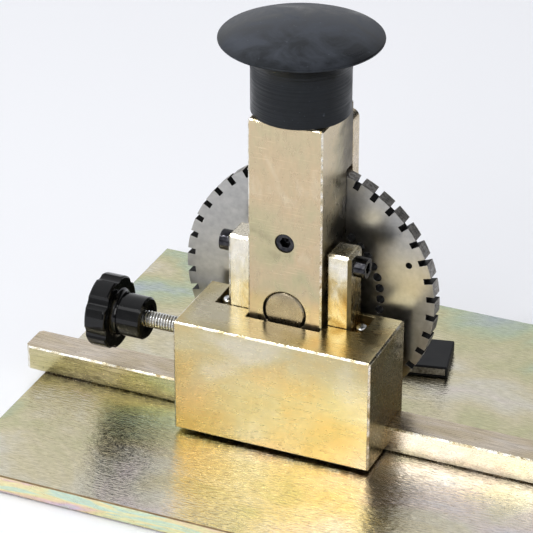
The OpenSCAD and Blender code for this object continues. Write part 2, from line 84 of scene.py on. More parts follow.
def add_node(tree, kind, inputs=None, stops=(), **settings):
    """Adds one node. An input is a value or another node's socket. stops are a ramp's places and colours."""
    made = tree.nodes.new("ShaderNode" + kind)
    for name, value in settings.items():
        setattr(made, name, value)
    for name, value in (inputs or {}).items():
        if isinstance(value, bpy.types.NodeSocket):
            tree.links.new(value, made.inputs[name])
        else:
            made.inputs[name].default_value = value
    for i, (place, code) in enumerate(stops):
        stop = made.color_ramp.elements[i] if i < 2 else made.color_ramp.elements.new(place)
        stop.position = place
        stop.color = linear(code)
    return made


def new_material(name):
    """An empty material with its tree and its shader."""
    made = bpy.data.materials.new(name)
    made.use_nodes = True
    return made, made.node_tree, made.node_tree.nodes["Principled BSDF"]


floor_size = 8
floor_drop = 0.0002
bpy.ops.object.select_all(action="DESELECT")
bpy.ops.mesh.primitive_plane_add(size=floor_size, location=(0, 0, -floor_drop))
floor = bpy.context.object
floor.name = "floor"
# Matt paper: nearly white, with hardly a highlight
paper, _, paper_skin = new_material("matt_paper")
paper_skin.inputs["Base Color"].default_value = linear("#f4f5f9")
paper_skin.inputs["Roughness"].default_value = 0.9
paper_skin.inputs["Specular IOR Level"].default_value = 0.1
floor.data.materials.append(paper)

sky = bpy.data.worlds.new("white_sky")
bpy.context.scene.world = sky
sky.use_nodes = True
sky_tree = sky.node_tree
dark_side = (0.9, -0.3, 0.2)
sky_way = add_node(sky_tree, "TexCoord").outputs["Generated"]
sky_across = add_node(sky_tree, "VectorMath", {0: sky_way, 1: dark_side}, operation="DOT_PRODUCT")
# Each change of light across the sky, from about -1 to 1: where it starts and ends, and the light there
sky_changes = {
    "white_to_dark": (-0.2, 0.15, 0.78, 0.03, "SMOOTHSTEP"),
    "glow_to_white": (-0.8, -0.45, 1.5, 1.0, "LINEAR"),
    "dark_to_grey": (0.45, 0.75, 0.0, 0.6, "SMOOTHSTEP"),
}
sky_light = {}
for name, (start, end, first, last, curve) in sky_changes.items():
    change = add_node(
        sky_tree,
        "MapRange",
        {
            "Value": sky_across.outputs["Value"],
            "From Min": start,
            "From Max": end,
            "To Min": first,
            "To Max": last,
        },
        interpolation_type=curve,
    )
    sky_light[name] = change.outputs["Result"]
sky_strength = add_node(
    sky_tree,
    "Math",
    {0: sky_light["white_to_dark"], 1: sky_light["glow_to_white"], 2: sky_light["dark_to_grey"]},
    operation="MULTIPLY_ADD",
)
sky_tree.nodes["Background"].inputs["Color"].default_value = linear("#f8f9fc")
sky_tree.links.new(sky_strength.outputs["Value"], sky_tree.nodes["Background"].inputs["Strength"])

# Each lamp: place, size in metres, power in watts and whether the metal mirrors it. All point at the machine.
lamps = {
    "front_softbox": ((-0.14, -0.9, 0.6), 0.6, 3.8, True),
    "edge_softbox": ((-0.46, -0.66, 1.05), 0.4, 0.7, True),
    "rim_softbox": ((0.96, -0.44, 0.63), 0.35, 0.7, True),
    "glint_lamp": ((-0.5, -0.56, 1.1), 0.05, 0.9, True),
    "top_softbox": ((-0.6, 0.4, 2.2), 1.6, 23, False),
}
aim = Vector((0, 0, 0.06))
for name, (place, size, power, in_metal) in lamps.items():
    bpy.ops.object.light_add(type="AREA", location=place)
    lamp = bpy.context.object
    lamp.name = name
    lamp.data.size = size
    lamp.data.energy = power
    lamp.visible_glossy = in_metal
    lamp.rotation_euler = (aim - Vector(place)).to_track_quat("-Z", "Y").to_euler()


# Base plate
# A flat steel plate, zinc plated and yellow passivated. Its face keeps the rolled grain along X,
# and the thin passivate drifts from gold to green, pink and grey.
def rounded_copy(node, name, radius, segments=2):
    """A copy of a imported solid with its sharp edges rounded. Chamfers and rounds get the second finish."""
    weld = 1e-6
    flat_angle = math.radians(1)
    sharp_angle = math.radians(30)
    slant_margin = 0.01
    bpy.ops.object.select_all(action="DESELECT")
    piece = bpy.data.objects.new(name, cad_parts[node].data.copy())
    bpy.context.collection.objects.link(piece)
    piece.data.materials.clear()
    piece.select_set(True)
    bpy.context.view_layer.objects.active = piece
    bpy.ops.object.mode_set(mode="EDIT")
    bpy.ops.mesh.select_all(action="SELECT")
    bpy.ops.mesh.remove_doubles(threshold=weld)
    bpy.ops.mesh.dissolve_limited(angle_limit=flat_angle)
    bpy.ops.object.mode_set(mode="OBJECT")
    # A chamfer runs along one axis and slants evenly between the other two
    for face in piece.data.polygons:
        level, *slant = sorted(abs(c) for c in face.normal)
        face.material_index = int(level < slant_margin and abs(slant[0] - slant[1]) < slant_margin)
    bpy.ops.object.shade_smooth()
    edges = piece.modifiers.new("edges", "BEVEL")
    edges.width = radius
    edges.segments = segments
    edges.limit_method = "ANGLE"
    edges.angle_limit = sharp_angle
    edges.material = 1
    bpy.ops.object.modifier_apply(modifier="edges")
    # Large faces set the shading at their edges, so that they look flat
    flats = piece.modifiers.new("flats", "WEIGHTED_NORMAL")
    flats.weight = 100
    bpy.ops.object.modifier_apply(modifier="flats")
    return piece


def dress(piece, *finishes):
    """Gives a piece its finishes: the first for its faces, the second for its chamfers and rounds."""
    for finish in finishes:
        piece.data.materials.append(finish)


def paint(piece, finish, chosen):
    """Puts one of a piece's finishes on the faces that a test chooses."""
    index = piece.data.materials.find(finish.name)
    for face in piece.data.polygons:
        if chosen(face):
            face.material_index = index


def yellow_zinc(
    name,
    film,
    drift_mm,
    grain_mm,
    polish,
    relief_mm,
    lean=(0, 0, 0),
    middle=(0, 0, 0),
    streaks=(0.86, 1.06),
    pits=0.0,
    scratches=0.0,
    painted_foot_shade=None,
):
    """Zinc plate under a yellow passivate: a thin film of changing colour over the steel's own grain.
    film is a ramp of colours, drift_mm the size of its patches and grain_mm that of the grain, in X, Y and Z.
    polish is the roughness across the grain and relief_mm its depth. lean is how the film's place on the ramp
    changes per metre from middle. streaks are the grain's dark and light, pits and scratches their strength,
    and the last, if given, is the Y of a foot and how far a band of painted shade along it reaches."""
    made, tree, skin = new_material(name)
    place = add_node(tree, "TexCoord").outputs["Object"]
    spread = add_node(tree, "Mapping", {"Vector": place, "Scale": [1000 / mm for mm in drift_mm]})
    drift = add_node(
        tree, "TexNoise", {"Vector": spread.outputs["Vector"], "Scale": 1.0, "Detail": 4.0, "Distortion": 0.5}
    )
    out = add_node(tree, "VectorMath", {0: place, 1: middle}, operation="SUBTRACT")
    slope = add_node(tree, "VectorMath", {0: out.outputs["Vector"], 1: lean}, operation="DOT_PRODUCT")
    film_at = add_node(tree, "Math", {0: drift.outputs["Fac"], 1: slope.outputs["Value"]}, operation="ADD")
    colour = add_node(tree, "ValToRGB", {"Fac": film_at.outputs["Value"]}, stops=film)
    # The grain changes the shade, the gloss and the relief together. Its noise hardly leaves the range given.
    along = add_node(tree, "Mapping", {"Vector": place, "Scale": [1000 / mm for mm in grain_mm]})
    grain = add_node(tree, "TexNoise", {"Vector": along.outputs["Vector"], "Scale": 1.0, "Detail": 3.0})
    grain_range = {"Value": grain.outputs["Fac"], "From Min": 0.3, "From Max": 0.7}
    streak = add_node(tree, "MapRange", {**grain_range, "To Min": streaks[0], "To Max": streaks[1]})
    gloss = add_node(tree, "MapRange", {**grain_range, "To Min": polish[0], "To Max": polish[1]})
    relief = add_node(
        tree, "Bump", {"Height": grain.outputs["Fac"], "Distance": relief_mm / 1000, "Strength": 1.0}
    )
    # Pits are about a millimetre apart and a quarter as wide
    pit_mm = 1.1
    pit_rim, pit_floor = 0.68, 0.76
    pit = add_node(tree, "TexNoise", {"Vector": place, "Scale": 1000 / pit_mm, "Detail": 1.0}).outputs["Fac"]
    pit_shade = add_node(
        tree,
        "MapRange",
        {"Value": pit, "From Min": pit_rim, "From Max": pit_floor, "To Min": 1.0, "To Max": 1.0 - pits},
    )
    shade = add_node(
        tree, "Math", {0: streak.outputs["Result"], 1: pit_shade.outputs["Result"]}, operation="MULTIPLY"
    )
    # Scratches are slanting light lines, about a centimetre long, drawn wider than they are so that they show
    scratch_mm = (11, 0.4, 0.4)
    scratch_turn = (0.3, 0.45, 0.25)
    scratch_edge, scratch_crest = 0.64, 0.72
    slanted = add_node(
        tree,
        "Mapping",
        {"Vector": place, "Rotation": scratch_turn, "Scale": [1000 / mm for mm in scratch_mm]},
    )
    line = add_node(tree, "TexNoise", {"Vector": slanted.outputs["Vector"], "Scale": 1.0, "Detail": 1.0})
    line_range = {"Value": line.outputs["Fac"], "From Min": scratch_edge, "From Max": scratch_crest}
    scratch = add_node(tree, "MapRange", {**line_range, "To Min": 0.0, "To Max": scratches})
    worn = add_node(tree, "Math", {0: shade.outputs["Value"], 1: scratch.outputs["Result"]}, operation="ADD")
    if painted_foot_shade:
        # A band of painted shade lies along the foot on both sides, darkest at the foot, and the grain makes
        # its edge ragged
        foot_y, reach = painted_foot_shade
        foot_shade = 0.25
        ragged_share, dark_share, unshaded_share = 1.4, 0.7, 1.7
        depth = add_node(tree, "SeparateXYZ", {"Vector": place}).outputs["Y"]
        beyond = add_node(tree, "Math", {0: depth, 1: foot_y}, operation="SUBTRACT").outputs["Value"]
        away = add_node(tree, "Math", {0: beyond}, operation="ABSOLUTE").outputs["Value"]
        ragged = add_node(
            tree,
            "Math",
            {0: grain.outputs["Fac"], 1: ragged_share * reach, 2: away},
            operation="MULTIPLY_ADD",
        )
        shade_band_range = {"From Min": dark_share * reach, "From Max": unshaded_share * reach, "To Min": foot_shade}
        shade_band = add_node(tree, "MapRange", {"Value": ragged.outputs["Value"], **shade_band_range})
        worn = add_node(
            tree, "Math", {0: worn.outputs["Value"], 1: shade_band.outputs["Result"]}, operation="MULTIPLY"
        )
    tint = add_node(
        tree, "VectorMath", {0: colour.outputs["Color"], "Scale": worn.outputs["Value"]}, operation="SCALE"
    )
    skin.inputs["Metallic"].default_value = 1.0
    tree.links.new(tint.outputs["Vector"], skin.inputs["Base Color"])
    tree.links.new(gloss.outputs["Result"], skin.inputs["Roughness"])
    tree.links.new(relief.outputs["Normal"], skin.inputs["Normal"])
    return made


plate = rounded_copy("base_plate", "plate_sheet", radius=0.0003)
bar_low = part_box("guide_bar")[0]
# The band of painted shade along the bar's foot reaches this far
painted_shade_reach = 0.007
# The rolled grain is drawn coarser and deeper than it is, so that it shows
plate_film = [
    (0.26, "#c2cdd2"),
    (0.36, "#c9d4b4"),
    (0.44, "#d6d2a8"),
    (0.52, "#e4dab8"),
    (0.60, "#e8e2ce"),
    (0.68, "#eee2da"),
    (0.78, "#e8e6ea"),
]
plate_zinc = yellow_zinc(
    "yellow_zinc_rolled",
    plate_film,
    drift_mm=(60, 45, 45),
    grain_mm=(3.8, 0.8, 0.8),
    polish=(0.08, 0.18),
    relief_mm=0.26,
    lean=(0.6, -1.2, 0),
    middle=(-0.08, 0, 0),
    streaks=(0.78, 1.08),
    scratches=0.12,
    painted_foot_shade=(bar_low.y, painted_shade_reach),
)
edge_film = [
    (0.28, "#f1ecc0"),
    (0.36, "#dcebcb"),
    (0.43, "#cfe6d6"),
    (0.48, "#f2ecb8"),
    (0.54, "#f3dfb6"),
    (0.60, "#f0d3c6"),
    (0.66, "#e2cfe0"),
    (0.74, "#d6e8d2"),
]
# The sides are pale, and show the film's colours in short bands
edge_zinc = yellow_zinc(
    "yellow_zinc_rainbow_edge",
    edge_film,
    drift_mm=(38, 38, 5),
    grain_mm=(3, 3, 0.7),
    polish=(0.25, 0.4),
    relief_mm=0.01,
)
# The film is thin on the sharp edges, which are brown
arris_film = [(0.3, "#6f5a42"), (0.7, "#94805f")]
arris_zinc = yellow_zinc(
    "yellow_zinc_dark_arris",
    arris_film,
    drift_mm=(9, 9, 9),
    grain_mm=(2, 2, 2),
    polish=(0.4, 0.55),
    relief_mm=0.005,
)
dress(plate, plate_zinc, arris_zinc, edge_zinc)
upright = 0.1
paint(plate, edge_zinc, lambda face: abs(face.normal.z) < upright)
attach(plate, "base")
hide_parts("base_plate")

# Guide bar
# A rectangular bar of drawn steel, plated as the plate is, with sawn and chamfered ends.
# Countersunk screws of blackened steel hold it from below.
bar = rounded_copy("guide_bar", "bar_rail", radius=0.0005)
bar_film = [(0.2, "#c2b987"), (0.35, "#d3c9a2"), (0.5, "#e2d6bc"), (0.65, "#ece6d4"), (0.8, "#eae6dc")]
bar_zinc = yellow_zinc(
    "yellow_zinc_drawn",
    bar_film,
    drift_mm=(40, 14, 14),
    grain_mm=(12, 0.7, 0.7),
    polish=(0.18, 0.34),
    relief_mm=0.02,
    lean=(0.8, 0, 0),
    streaks=(0.8, 1.08),
    pits=0.45,
    scratches=0.2,
)
# Hands and the carriage have rubbed the edges down to bright metal
bright_film = [(0.32, "#a8956c"), (0.45, "#ded2b4"), (0.62, "#fbf8ee")]
bright_edge = yellow_zinc(
    "zinc_rubbed_bright",
    bright_film,
    drift_mm=(4, 4, 4),
    grain_mm=(1, 1, 1),
    polish=(0.16, 0.36),
    relief_mm=0.012,
    streaks=(0.72, 1.06),
    pits=0.5,
)
# The bar's top is scuffed in lines where the carriage slides
top_film = [(0.25, "#c9b898"), (0.42, "#d8c8ac"), (0.55, "#dfd0ba"), (0.7, "#e4d8c8")]
top_zinc = yellow_zinc(
    "yellow_zinc_scuffed",
    top_film,
    drift_mm=(30, 9, 9),
    grain_mm=(9, 0.6, 0.6),
    polish=(0.18, 0.34),
    relief_mm=0.02,
    streaks=(0.68, 1.14),
    pits=0.3,
    scratches=0.15,
)
dress(bar, bar_zinc, bright_edge, top_zinc)
straight_up = 0.99
paint(bar, top_zinc, lambda face: face.normal.z > straight_up)
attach(bar, "base")
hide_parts("guide_bar")


def mottled(name, colours, patch_mm, detail, polish, metallic=1.0, specular=0.5, relief_mm=0.0):
    """A finish whose colour and roughness change together over small patches. colours is a ramp, patch_mm the
    size of a patch, polish the range of the roughness and relief_mm how deep the patches are."""
    relief_strength = 0.4
    made, tree, skin = new_material(name)
    place = add_node(tree, "TexCoord").outputs["Object"]
    noise = add_node(tree, "TexNoise", {"Vector": place, "Scale": 1000 / patch_mm, "Detail": detail})
    patch = noise.outputs["Fac"]
    colour = add_node(tree, "ValToRGB", {"Fac": patch}, stops=colours)
    gloss = add_node(tree, "MapRange", {"Value": patch, "To Min": polish[0], "To Max": polish[1]})
    skin.inputs["Metallic"].default_value = metallic
    skin.inputs["Specular IOR Level"].default_value = specular
    tree.links.new(colour.outputs["Color"], skin.inputs["Base Color"])
    tree.links.new(gloss.outputs["Result"], skin.inputs["Roughness"])
    if relief_mm:
        relief = add_node(
            tree, "Bump", {"Height": patch, "Distance": relief_mm / 1000, "Strength": relief_strength}
        )
        tree.links.new(relief.outputs["Normal"], skin.inputs["Normal"])
    return made


# Blackened steel with an oily film: dark, with sharp highlights and faint mottling
oxide_colours = [(0.35, "#2c2c30"), (0.7, "#4a494b")]
oxide = mottled("black_oxide", oxide_colours, patch_mm=1.5, detail=3.0, polish=(0.1, 0.3))
bar_screws = rounded_copy("bar_screws", "bar_screw_heads", radius=0.0001)
dress(bar_screws, oxide, oxide)
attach(bar_screws, "base")
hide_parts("bar_screws")

# Carriage block
# A block milled from solid steel and plated, which straddles the bar and slides on it. Its faces are gold,
# its handled edges are rubbed bright, and its pockets and notch are painted dull brown, as shade.
block = rounded_copy("carriage_block", "block_body", radius=0.00025)
block_low, block_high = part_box("carriage_block")
block_film = [(0.3, "#d9ba80"), (0.45, "#d1bb88"), (0.58, "#cec29a"), (0.72, "#d8d0b8")]
block_zinc = yellow_zinc(
    "yellow_zinc_milled",
    block_film,
    drift_mm=(30, 30, 22),
    grain_mm=(5, 1.4, 1.4),
    polish=(0.2, 0.3),
    relief_mm=0.003,
    lean=(0, 0, 4.5),
    middle=(block_low + block_high) / 2,
    streaks=(0.93, 1.04),
    scratches=0.05,
)
# Walls of the pockets, the notch and the column's slot are painted dull brown, as shade in the recesses
shade_film = [(0.3, "#665a40"), (0.7, "#8d805a")]
painted_shade_zinc = yellow_zinc(
    "yellow_zinc_painted_shade",
    shade_film,
    drift_mm=(9, 9, 9),
    grain_mm=(1, 1, 1),
    polish=(0.42, 0.55),
    relief_mm=0.01,
)
dress(block, block_zinc, bright_edge, painted_shade_zinc)
inside_margin = 0.0006


def is_inside(face, low, high):
    """Whether a face lies within a box, clear of all its sides."""
    return all(low[i] + inside_margin < face.center[i] < high[i] - inside_margin for i in range(3))


# The pockets and notch get the painted shade
paint(block, painted_shade_zinc, lambda face: is_inside(face, block_low, block_high))
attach(block, "carriage")
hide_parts("carriage_block")

# Guide screws and return springs
# Zinc plated screws with domed heads stand in the block's pockets and guide the lugs' feet. Round each one,
# under the foot, a spring wound from round steel wire lifts the column.
guide_screws = rounded_copy("guide_screws", "guide_screw_domes", radius=0.0002)
# Clear zinc plate: white metal, nearly a mirror, with faint blue and yellow patches
zinc_colours = [(0.35, "#d8dce0"), (0.5, "#e8e9e8"), (0.65, "#e6e2d4")]
zinc = mottled("bright_zinc", zinc_colours, patch_mm=4, detail=3.0, polish=(0.14, 0.34))
dress(guide_screws, zinc, zinc)
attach(guide_screws, "carriage")
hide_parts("guide_screws")


def wound_spring(node, name, wire, turns, axis):
    """A spring wound from round wire along an axis, in the room that its solid takes."""
    wire_sides = 12
    turn_steps = 28
    smooth_angle = math.radians(50)
    low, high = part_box(node)
    middle = (low + high) / 2
    along = "XYZ".index(axis)
    foot = middle.copy()
    foot[along] = low[along] + wire / 2
    length = high[along] - low[along] - wire
    across = (along + 1) % 3
    radius = (high[across] - low[across] - wire) / 2
    bpy.ops.object.select_all(action="DESELECT")
    stand = (math.pi / 2, 0, 0) if axis == "Z" else (0, 0, 0)
    bpy.ops.mesh.primitive_circle_add(
        vertices=wire_sides, radius=wire / 2, fill_type="NOTHING", rotation=stand
    )
    piece = bpy.context.object
    piece.name = name
    bpy.ops.object.transform_apply(rotation=True)
    piece.data.transform(Matrix.Translation((radius, 0, 0)))
    piece.location = foot
    coil = piece.modifiers.new("coil", "SCREW")
    coil.axis = axis
    coil.screw_offset = length / turns
    coil.iterations = turns
    coil.steps = turn_steps
    coil.render_steps = turn_steps
    bpy.ops.object.modifier_apply(modifier="coil")
    bpy.ops.object.mode_set(mode="EDIT")
    bpy.ops.mesh.select_all(action="SELECT")
    bpy.ops.mesh.fill_holes(sides=wire_sides)
    bpy.ops.mesh.normals_make_consistent(inside=False)
    bpy.ops.object.mode_set(mode="OBJECT")
    bpy.ops.object.transform_apply(location=True)
    bpy.ops.object.shade_smooth_by_angle(angle=smooth_angle)
    return piece


for side in ("left", "right"):
    spring = wound_spring(f"return_spring_{side}", f"spring_{side}", wire=0.0007, turns=6, axis="Z")
    dress(spring, zinc)
    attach(spring, "carriage")
    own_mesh(spring)
    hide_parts(f"return_spring_{side}")

# Column and wheel cover
# A square steel bar, paler than the block and scratched by use, with painted shade on its sides. A plate
# screwed to its back closes the slot in which the wheel turns.
column = rounded_copy("column", "column_bar", radius=0.0005)
column_low, column_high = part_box("column")
column_wear = {
    "drift_mm": (13, 40, 18),
    "grain_mm": (1.8, 1.8, 5),
    "polish": (0.24, 0.38),
    "relief_mm": 0.006,
    "streaks": (0.92, 1.04),
    "pits": 0.2,
    "scratches": 0.16,
}
column_film = [
    (0.05, "#6a5f48"),
    (0.20, "#a2977c"),
    (0.34, "#c0b794"),
    (0.46, "#c9b998"),
    (0.58, "#cdb897"),
    (0.70, "#d6c6a8"),
]
# The film darkens towards the back, as painted shade
column_zinc = yellow_zinc(
    "yellow_zinc_worn", column_film, lean=(0, -14, 0), middle=column_low, **column_wear
)
# Painted shade darkens the sides, most low down and towards the back, and leaves the top quarter unshaded
unshaded_from = 0.75
unshaded_z = column_low.z + unshaded_from * (column_high.z - column_low.z)
side_shade_film = [(0.05, "#2f2a1f"), (0.20, "#6f6651"), (0.34, "#a89e82"), (0.46, "#c9b998"), (0.70, "#d6c6a8")]
shaded_side_zinc = yellow_zinc(
    "yellow_zinc_painted_side_shade", side_shade_film, lean=(0, -14, 8), middle=(0, column_low.y, unshaded_z), **column_wear
)
# Painted shade in the gap round the axle: nearly black, and dull
gap_shade_film = [(0.3, "#14120f"), (0.7, "#241f19")]
axle_gap_shade = yellow_zinc(
    "painted_axle_gap_shade", gap_shade_film, drift_mm=(4, 4, 4), grain_mm=(1, 1, 1), polish=(0.45, 0.6), relief_mm=0.01
)
dress(column, column_zinc, bright_edge, painted_shade_zinc, axle_gap_shade, shaded_side_zinc)
axle_low, axle_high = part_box("wheel_axle")
axle_middle = (axle_low + axle_high) / 2
gap_shade_width = 0.0004
gap_shade_r = (axle_high.z - axle_low.z) / 2 + gap_shade_width
sideways = 0.9


def from_axle(face):
    """How far a face lies from the axle's centre line."""
    return math.hypot(face.center.x - axle_middle.x, face.center.z - axle_middle.z)


# The sides get the painted shade
paint(column, shaded_side_zinc, lambda face: abs(face.normal.x) > sideways)
# The column's slot for the wheel gets the painted shade
paint(column, painted_shade_zinc, lambda face: is_inside(face, column_low, column_high))
# A ring round the axle gets the painted gap shade
paint(column, axle_gap_shade, lambda face: from_axle(face) < gap_shade_r)
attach(column, "plunger")
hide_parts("column")

cover = rounded_copy("wheel_cover", "cover_plate", radius=0.0006)
dress(cover, top_zinc, bright_edge)
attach(cover, "plunger")
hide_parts("wheel_cover")

cover_screws = rounded_copy("cover_screws", "cover_screw_heads", radius=0.0003)
dress(cover_screws, oxide, oxide)
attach(cover_screws, "plunger")
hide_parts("cover_screws")

# Lugs
# Two small plated steel blocks on the column's sides, whose feet reach down into the block's pockets.
# A black socket head screw holds each one, and its corners that face right are painted dull, as shade.
lug_film = [(0.26, "#a98d55"), (0.40, "#cdb886"), (0.52, "#e4dabc"), (0.66, "#efe9da")]
lug_low, lug_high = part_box("left_lug")
lug_zinc = yellow_zinc(
    "yellow_zinc_rubbed",
    lug_film,
    drift_mm=(9, 9, 12),
    grain_mm=(1.2, 1.2, 4),
    polish=(0.18, 0.32),
    relief_mm=0.005,
    lean=(-3, 0, 8),
    middle=(lug_low + lug_high) / 2,
    pits=0.2,
    scratches=0.15,
)


def is_right_corner(face):
    """Whether a face is part of an upright chamfer or round that looks half to the right."""
    half_right = 0.5 < face.normal.x < 0.9
    stands = abs(face.normal.z) < 0.3
    return face.material_index == 1 and half_right and stands


for side in ("left", "right"):
    lug = rounded_copy(f"{side}_lug", f"{side}_lug_block", radius=0.0003)
    dress(lug, lug_zinc, bright_edge, painted_shade_zinc)
    # Corners that face right get the painted shade
    paint(lug, painted_shade_zinc, is_right_corner)
    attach(lug, "plunger")
    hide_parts(f"{side}_lug")

lug_screws = rounded_copy("lug_screws", "lug_screw_heads", radius=0.0004, segments=3)
dress(lug_screws, oxide, oxide)
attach(lug_screws, "plunger")
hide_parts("lug_screws")

# Type wheel
# A ground steel disc on a plated axle. Its rim is cut into types, each with a raised mirrored character,
# and the walls of its holes and slots are painted nearly black as shade, while the rim's cut faces are dull.
wheel = rounded_copy("type_wheel", "wheel_disc", radius=0.00012)
# Ground steel: an even silver grey with a soft shine
ground_colours = [(0.3, "#a3a2a0"), (0.7, "#b6b5b2")]
ground_steel = mottled("ground_steel", ground_colours, patch_mm=2.5, detail=4.0, polish=(0.24, 0.38))
# Steel that was only cut is dull, and the walls of holes and slots are painted nearly black, as shade
cut_colours = [(0.35, "#7d7a76"), (0.65, "#b4b0ab")]
cut_steel_and_flank_shade = mottled("cut_steel_and_flank_shade", cut_colours, patch_mm=1.2, detail=4.0, polish=(0.4, 0.6))
recess_shade_colours = [(0.35, "#121110"), (0.65, "#2a2826")]
recess_shade_steel = mottled("painted_recess_shade_steel", recess_shade_colours, patch_mm=1.2, detail=4.0, polish=(0.4, 0.6))
wheel_low, wheel_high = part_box("type_wheel")
wheel_middle = (wheel_low + wheel_high) / 2
wheel_r = (wheel_high.z - wheel_low.z) / 2
rim_depth = 0.0005
dress(wheel, ground_steel, ground_steel, cut_steel_and_flank_shade, recess_shade_steel)


def is_cut(face):
    """Whether a face is a wall across the disc and not one of its two ground sides."""
    return abs(face.normal.y) < 0.5


def is_rim(face):
    """Whether a face is on the disc's outermost turn."""
    return from_axle(face) > wheel_r - rim_depth


# Walls across the disc get the painted shade, all but those on the rim
paint(wheel, recess_shade_steel, is_cut)
paint(wheel, cut_steel_and_flank_shade, lambda face: is_cut(face) and is_rim(face))
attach(wheel, "wheel")
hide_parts("type_wheel")

characters = "ABCDEFGHIJKLMNOPQRSTUVWXYZ0123456789&-./"
character_h = 0.0046
character_relief = 0.00012
curve_steps = 3
mirrored = Matrix.Diagonal((1, -1, 1, 1))
types = []
for i, character in enumerate(characters):
    bpy.ops.object.select_all(action="DESELECT")
    bpy.ops.object.text_add()
    letter = bpy.context.object
    letter.data.body = character
    letter.data.size = character_h
    letter.data.extrude = character_relief
    letter.data.resolution_u = curve_steps
    letter.data.align_x = "CENTER"
    letter.data.align_y = "CENTER"
    bpy.ops.object.convert(target="MESH")
    turn = Matrix.Rotation(i * 2 * math.pi / len(characters), 4, "Y")
    letter.data.transform(
        Matrix.Translation(wheel_middle) @ turn @ Matrix.Translation((0, 0, wheel_r)) @ mirrored
    )
    types.append(letter)
for letter in types:
    letter.select_set(True)
bpy.context.view_layer.objects.active = types[0]
bpy.ops.object.join()
type_faces = bpy.context.object
type_faces.name = "type_characters"
bpy.ops.object.mode_set(mode="EDIT")
bpy.ops.mesh.select_all(action="SELECT")
bpy.ops.mesh.normals_make_consistent(inside=False)
bpy.ops.object.mode_set(mode="OBJECT")
type_faces.data.materials.clear()
dress(type_faces, ground_steel)
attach(type_faces, "wheel")

axle = rounded_copy("wheel_axle", "axle_pin", radius=0.00015)
axle_film = [(0.3, "#978b76"), (0.7, "#b0a48c")]
axle_zinc = yellow_zinc(
    "yellow_zinc_turned",
    axle_film,
    drift_mm=(9, 9, 9),
    grain_mm=(1, 1, 1),
    polish=(0.24, 0.36),
    relief_mm=0.005,
    scratches=0.1,
)
# The axle's chamfers get the painted gap shade
dress(axle, axle_zinc, axle_gap_shade)
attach(axle, "wheel")
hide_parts("wheel_axle")

# Detent
# A set screw of blackened steel in the column's face. Behind it a spring of fine wire pushes a steel ball,
# which clicks into the wheel's index holes.
set_screw = rounded_copy("detent_screw", "set_screw", radius=0.0003)
dress(set_screw, oxide, oxide)
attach(set_screw, "plunger")
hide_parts("detent_screw")

detent_spring = wound_spring("detent_spring", "detent_coil", wire=0.0005, turns=7, axis="Y")
dress(detent_spring, zinc)
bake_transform(detent_spring)
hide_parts("detent_spring")

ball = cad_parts["detent_ball"]
ball.data.materials.clear()
dress(ball, zinc)

# Strike cap
# A mushroom of hard black rubber, turned on a lathe, with a hollow curve under its thin rim.
# A steel stud joins it to the column.
pole_r = 0.00001


def turned(name, profile, foot, sides=128):
    """A piece turned on a lathe: a ring is extruded up the profile, radius by radius, and its ends close."""
    smooth_angle = math.radians(40)
    bpy.ops.object.select_all(action="DESELECT")
    radius, height = profile[0]
    bpy.ops.mesh.primitive_circle_add(
        vertices=sides, radius=radius, fill_type="NOTHING", location=foot + Vector((0, 0, height))
    )
    piece = bpy.context.object
    piece.name = name
    bpy.ops.object.transform_apply(location=True)
    bpy.ops.object.mode_set(mode="EDIT")
    bpy.ops.mesh.select_all(action="SELECT")
    for next_radius, next_height in profile[1:]:
        rise = (0, 0, next_height - height)
        bpy.ops.mesh.extrude_region_move(TRANSFORM_OT_translate={"value": rise})
        share = next_radius / radius
        bpy.ops.transform.resize(value=(share, share, 1), center_override=foot)
        radius, height = next_radius, next_height
    bpy.ops.mesh.select_all(action="SELECT")
    bpy.ops.mesh.remove_doubles(threshold=pole_r * 2)
    bpy.ops.mesh.normals_make_consistent(inside=False)
    bpy.ops.object.mode_set(mode="OBJECT")
    bpy.ops.object.shade_smooth_by_angle(angle=smooth_angle)
    return piece


cap_low, cap_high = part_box("strike_cap")
cap_foot = Vector(((cap_low.x + cap_high.x) / 2, (cap_low.y + cap_high.y) / 2, cap_low.z))
cap_r = (cap_high.x - cap_low.x) / 2
neck_r = 0.0199
neck_h = 0.0172
neck_chamfer = 0.0004
rim_t = 0.0012
flare = cap_r - neck_r
rim_z = neck_h + flare
dome_h = cap_high.z - cap_low.z - rim_z - rim_t
dome_r = (cap_r**2 + dome_h**2) / (2 * dome_h)
rim_round = rim_t / 2
flare_steps = 12
rim_steps = 6
dome_steps = 16
cap_profile = [(pole_r, 0), (neck_r - neck_chamfer, 0), (neck_r, neck_chamfer), (neck_r, neck_h)]
for step in range(1, flare_steps):
    angle = step / flare_steps * math.pi / 2
    cap_profile.append((cap_r - flare * math.cos(angle), neck_h + flare * math.sin(angle)))
for step in range(rim_steps + 1):
    angle = (step / rim_steps - 0.5) * math.pi
    cap_profile.append(
        (cap_r - rim_round + rim_round * math.cos(angle), rim_z + rim_round + rim_round * math.sin(angle))
    )
for step in range(1, dome_steps):
    radius = (cap_r - rim_round) * (1 - step / dome_steps)
    rise = math.sqrt(dome_r**2 - radius**2) - (dome_r - dome_h)
    cap_profile.append((radius, rim_z + rim_t + rise))
cap_profile.append((pole_r, cap_high.z - cap_low.z))
cap = turned("cap_mushroom", cap_profile, cap_foot)

rubber, rubber_tree, rubber_skin = new_material("hard_black_rubber")
rubber_place = add_node(rubber_tree, "TexCoord").outputs["Object"]
